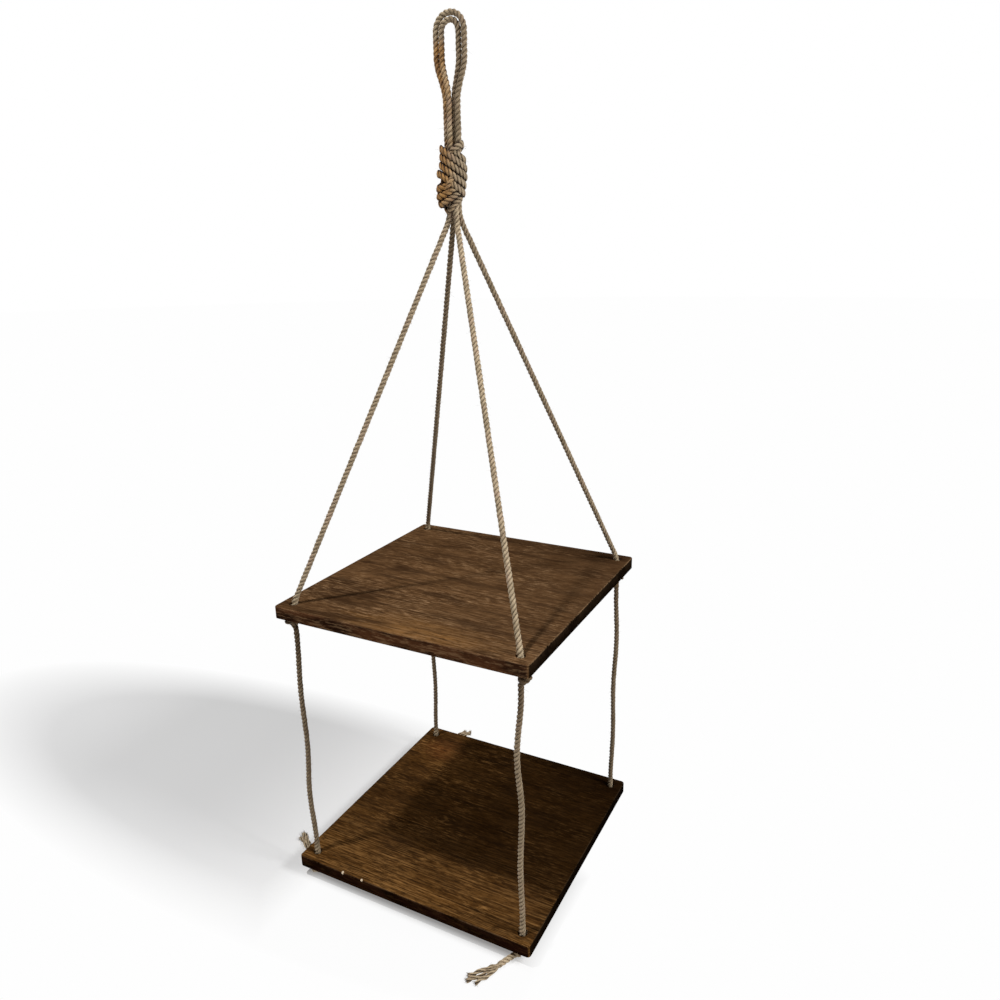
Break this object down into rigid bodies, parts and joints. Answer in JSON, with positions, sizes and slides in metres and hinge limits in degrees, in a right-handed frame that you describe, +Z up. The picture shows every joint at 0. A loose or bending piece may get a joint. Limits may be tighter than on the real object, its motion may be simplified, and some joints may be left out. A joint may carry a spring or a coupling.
{
  "type": "hanging rope shelf",
  "caption": "Two square dark-stained wooden boards hung one above the other on natural-fibre ropes that pass through corner holes, gather in a wound knot and end in a hanging loop.",
  "frame": {"origin": "inner top of the hanging loop, where the hook bears; the whole shelf hangs below it", "axes": "+Z up, X along the boards' grain and the loop's width, -Y towards the front edge"},
  "size_m": [0.3216, 0.3641, 0.8612],
  "materials": {
    "board_wood": "dark walnut stain, satin, worn edges",
    "rope_fibre": "three-strand twisted jute, matt, lightly fuzzy"
  },
  "bodies": {
    "hanger": {"loop_bight_inner": "rope_fibre", "loop_bight_outer": "rope_fibre"},
    "loop": {"loop_leg_outer_left": "rope_fibre", "loop_leg_inner_left": "rope_fibre", "loop_leg_inner_right": "rope_fibre", "loop_leg_outer_right": "rope_fibre"},
    "gathering_knot": {"gathering_knot_core": "rope_fibre", "gathering_knot_winding": "rope_fibre"},
    "upper_tier": {"upper_board": "board_wood", "upper_rope_front_left": "rope_fibre", "upper_rope_front_right": "rope_fibre", "upper_rope_back_right": "rope_fibre", "upper_rope_back_left": "rope_fibre", "upper_stop_knot_front_left": "rope_fibre", "upper_stop_knot_front_right": "rope_fibre", "upper_stop_knot_back_right": "rope_fibre", "upper_stop_knot_back_left": "rope_fibre"},
    "neck_front_left": {"rope_neck_front_left": "rope_fibre"},
    "upper_half_front_left": {"rope_upper_half_front_left": "rope_fibre"},
    "lower_half_front_left": {"rope_lower_half_front_left": "rope_fibre"},
    "foot_front_left": {"rope_foot_front_left": "rope_fibre"},
    "neck_front_right": {"rope_neck_front_right": "rope_fibre"},
    "upper_half_front_right": {"rope_upper_half_front_right": "rope_fibre"},
    "lower_half_front_right": {"rope_lower_half_front_right": "rope_fibre"},
    "foot_front_right": {"rope_foot_front_right": "rope_fibre"},
    "neck_back_right": {"rope_neck_back_right": "rope_fibre"},
    "upper_half_back_right": {"rope_upper_half_back_right": "rope_fibre"},
    "lower_half_back_right": {"rope_lower_half_back_right": "rope_fibre"},
    "foot_back_right": {"rope_foot_back_right": "rope_fibre"},
    "neck_back_left": {"rope_neck_back_left": "rope_fibre"},
    "upper_half_back_left": {"rope_upper_half_back_left": "rope_fibre"},
    "lower_half_back_left": {"rope_lower_half_back_left": "rope_fibre"},
    "foot_back_left": {"rope_foot_back_left": "rope_fibre"},
    "lower_tier": {"lower_board": "board_wood", "lower_stop_knot_front_left": "rope_fibre", "lower_stop_knot_front_right": "rope_fibre", "lower_stop_knot_back_right": "rope_fibre", "lower_stop_knot_back_left": "rope_fibre", "frayed_tail_front_left": "rope_fibre", "frayed_tail_front_right": "rope_fibre", "frayed_tail_back_right": "rope_fibre", "frayed_tail_back_left": "rope_fibre"}
  },
  "joints": [
    {"name": "swing_front_back", "type": "hinge", "parent": "hanger", "child": "loop", "pos_m": [0, 0, -0.0169], "axis": [1, 0, 0], "range_deg": [-20, 20]},
    {"name": "twist", "type": "hinge", "parent": "loop", "child": "gathering_knot", "pos_m": [0, 0, -0.095], "axis": [0, 0, 1], "range_deg": [-90, 90]},
    {"name": "swing_side", "type": "hinge", "parent": "gathering_knot", "child": "upper_tier", "pos_m": [0, 0, -0.16], "axis": [0, 1, 0], "range_deg": [-20, 20]},
    {"name": "tier_sway", "type": "hinge", "parent": "upper_tier", "child": "neck_front_left", "pos_m": [-0.126, -0.126, -0.5532], "axis": [1, 0, 0], "range_deg": [-15, 15]},
    {"name": "tier_lift", "type": "hinge", "parent": "neck_front_left", "child": "upper_half_front_left", "pos_m": [-0.12395, -0.12395, -0.56335], "axis": [0.7071, -0.7071, 0], "range_deg": [0, 84]},
    {"name": "bend_knee_front_left", "type": "hinge", "parent": "upper_half_front_left", "child": "lower_half_front_left", "pos_m": [-0.12805, -0.12805, -0.68735], "axis": [0.7071, -0.7071, 0], "range_deg": [-168, 0]},
    {"name": "bend_foot_front_left", "type": "hinge", "parent": "lower_half_front_left", "child": "foot_front_left", "pos_m": [-0.12395, -0.12395, -0.81135], "axis": [0.7071, -0.7071, 0], "range_deg": [0, 84]},
    {"name": "sway_front_right", "type": "hinge", "parent": "upper_tier", "child": "neck_front_right", "pos_m": [0.126, -0.126, -0.5532], "axis": [1, 0, 0], "range_deg": [-15, 15]},
    {"name": "bend_top_front_right", "type": "hinge", "parent": "neck_front_right", "child": "upper_half_front_right", "pos_m": [0.12395, -0.12395, -0.56335], "axis": [0.7071, 0.7071, 0], "range_deg": [0, 84]},
    {"name": "bend_knee_front_right", "type": "hinge", "parent": "upper_half_front_right", "child": "lower_half_front_right", "pos_m": [0.12805, -0.12805, -0.68735], "axis": [0.7071, 0.7071, 0], "range_deg": [-168, 0]},
    {"name": "bend_foot_front_right", "type": "hinge", "parent": "lower_half_front_right", "child": "foot_front_right", "pos_m": [0.12395, -0.12395, -0.81135], "axis": [0.7071, 0.7071, 0], "range_deg": [0, 84]},
    {"name": "sway_back_right", "type": "hinge", "parent": "upper_tier", "child": "neck_back_right", "pos_m": [0.126, 0.126, -0.5532], "axis": [1, 0, 0], "range_deg": [-15, 15]},
    {"name": "bend_top_back_right", "type": "hinge", "parent": "neck_back_right", "child": "upper_half_back_right", "pos_m": [0.12395, 0.12395, -0.56335], "axis": [-0.7071, 0.7071, 0], "range_deg": [0, 84]},
    {"name": "bend_knee_back_right", "type": "hinge", "parent": "upper_half_back_right", "child": "lower_half_back_right", "pos_m": [0.12805, 0.12805, -0.68735], "axis": [-0.7071, 0.7071, 0], "range_deg": [-168, 0]},
    {"name": "bend_foot_back_right", "type": "hinge", "parent": "lower_half_back_right", "child": "foot_back_right", "pos_m": [0.12395, 0.12395, -0.81135], "axis": [-0.7071, 0.7071, 0], "range_deg": [0, 84]},
    {"name": "sway_back_left", "type": "hinge", "parent": "upper_tier", "child": "neck_back_left", "pos_m": [-0.126, 0.126, -0.5532], "axis": [1, 0, 0], "range_deg": [-15, 15]},
    {"name": "bend_top_back_left", "type": "hinge", "parent": "neck_back_left", "child": "upper_half_back_left", "pos_m": [-0.12395, 0.12395, -0.56335], "axis": [-0.7071, -0.7071, 0], "range_deg": [0, 84]},
    {"name": "bend_knee_back_left", "type": "hinge", "parent": "upper_half_back_left", "child": "lower_half_back_left", "pos_m": [-0.12805, 0.12805, -0.68735], "axis": [-0.7071, -0.7071, 0], "range_deg": [-168, 0]},
    {"name": "bend_foot_back_left", "type": "hinge", "parent": "lower_half_back_left", "child": "foot_back_left", "pos_m": [-0.12395, 0.12395, -0.81135], "axis": [-0.7071, -0.7071, 0], "range_deg": [0, 84]},
    {"name": "tier_level", "type": "hinge", "parent": "foot_front_left", "child": "lower_tier", "pos_m": [-0.126, -0.126, -0.8215], "axis": [1, 0, 0], "range_deg": [-15, 15]}
  ],
  "couplings": [
    {"joint": "bend_knee_front_left", "follows": "tier_lift", "ratio": -2},
    {"joint": "bend_foot_front_left", "follows": "tier_lift", "ratio": 1},
    {"joint": "sway_front_right", "follows": "tier_sway", "ratio": 1},
    {"joint": "bend_top_front_right", "follows": "tier_lift", "ratio": 1},
    {"joint": "bend_knee_front_right", "follows": "tier_lift", "ratio": -2},
    {"joint": "bend_foot_front_right", "follows": "tier_lift", "ratio": 1},
    {"joint": "sway_back_right", "follows": "tier_sway", "ratio": 1},
    {"joint": "bend_top_back_right", "follows": "tier_lift", "ratio": 1},
    {"joint": "bend_knee_back_right", "follows": "tier_lift", "ratio": -2},
    {"joint": "bend_foot_back_right", "follows": "tier_lift", "ratio": 1},
    {"joint": "sway_back_left", "follows": "tier_sway", "ratio": 1},
    {"joint": "bend_top_back_left", "follows": "tier_lift", "ratio": 1},
    {"joint": "bend_knee_back_left", "follows": "tier_lift", "ratio": -2},
    {"joint": "bend_foot_back_left", "follows": "tier_lift", "ratio": 1},
    {"joint": "tier_level", "follows": "tier_sway", "ratio": -1}
  ]
}
